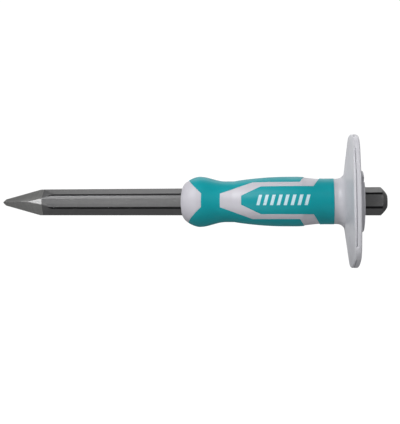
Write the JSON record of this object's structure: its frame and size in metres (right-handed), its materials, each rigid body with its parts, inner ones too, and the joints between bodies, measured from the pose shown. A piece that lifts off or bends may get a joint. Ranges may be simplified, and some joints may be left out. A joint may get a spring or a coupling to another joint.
{
  "type": "cold chisel",
  "caption": "Pointed cold chisel of hexagonal steel with a two-material moulded grip and a rounded square hand guard, struck with a hammer to break stone, concrete or metal.",
  "frame": {"origin": "centre of the flat face that is struck with the hammer", "axes": "+X along the axis of the bar towards the struck face, so the point is at -X; +Z through a corner of the hexagonal bar; -Y out of a flat of the bar and through the middle of one arrow of the grip"},
  "size_m": [0.3, 0.097, 0.097],
  "materials": {
    "bar_steel": "forged and hardened steel, dark along the bar and ground bright at the point",
    "grip_hard_plastic": "satin moulded hard plastic",
    "grip_soft_rubber": "satin soft moulded rubber-like plastic",
    "guard_plastic": "satin moulded hard plastic"
  },
  "bodies": {
    "root": {"chisel_bar": "bar_steel", "grip_core": "grip_hard_plastic", "front_grip": "grip_soft_rubber", "rear_grip": "grip_soft_rubber", "hand_guard": "guard_plastic"}
  },
  "joints": []
}
